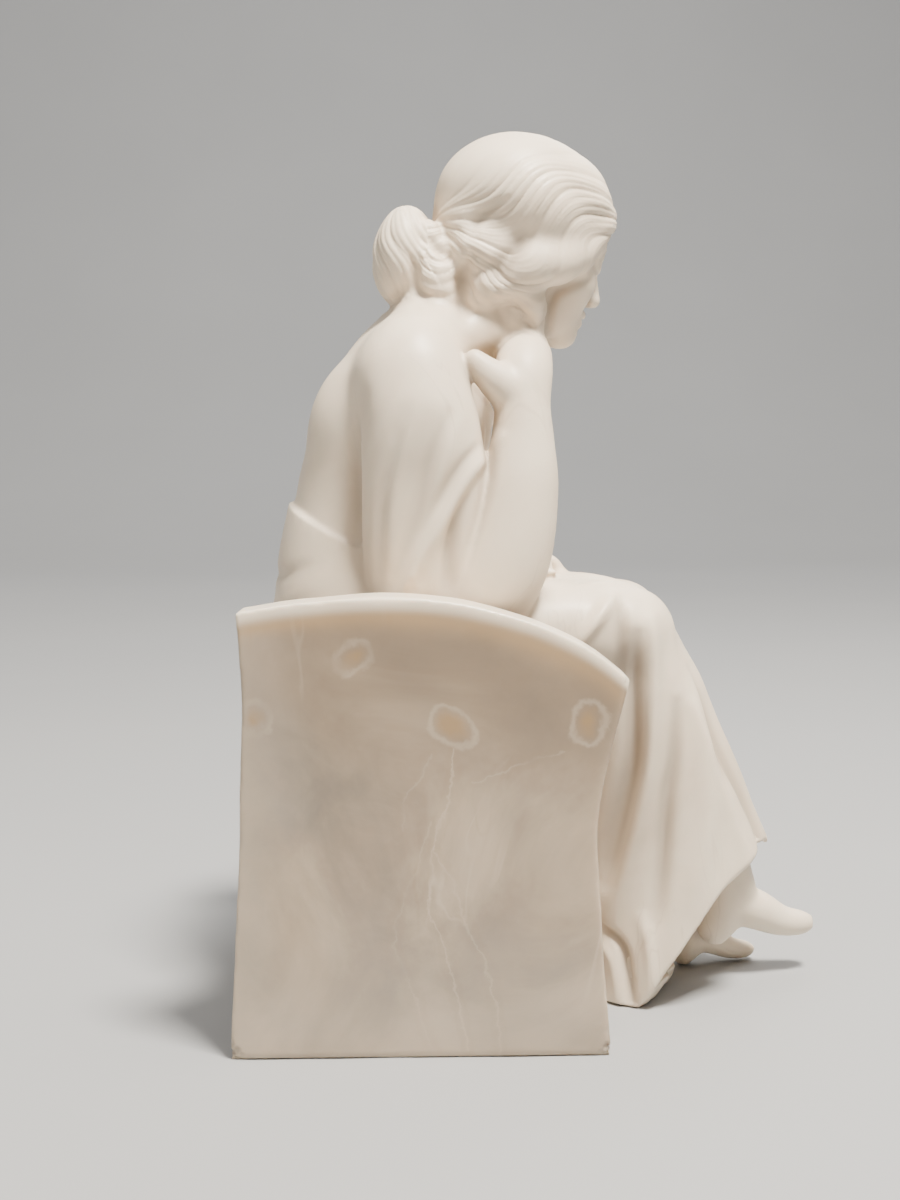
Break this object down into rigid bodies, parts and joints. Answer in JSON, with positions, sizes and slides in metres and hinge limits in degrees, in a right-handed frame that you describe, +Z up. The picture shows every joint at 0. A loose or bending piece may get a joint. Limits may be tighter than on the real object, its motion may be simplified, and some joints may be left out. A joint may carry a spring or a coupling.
{
  "type": "reading girl statue",
  "caption": "Seated girl in loose drapery leaning her chin on one hand over an open book, on a chair with solid curved sides, carved in polished stone.",
  "frame": {"origin": "on the ground at the centre of the chair's footprint, on the seat block's underside", "axes": "+X the way the girl faces, +Y her left, +Z up"},
  "size_m": [0.167, 0.112, 0.2445],
  "materials": {
    "figure_stone": "satin polish, white alabaster, faintly translucent",
    "chair_stone": "satin polish, warm veined alabaster, faintly translucent"
  },
  "bodies": {
    "root": {"figure": "figure_stone", "arm_slab_right": "chair_stone", "arm_slab_left": "chair_stone", "seat_block": "chair_stone"}
  },
  "joints": []
}
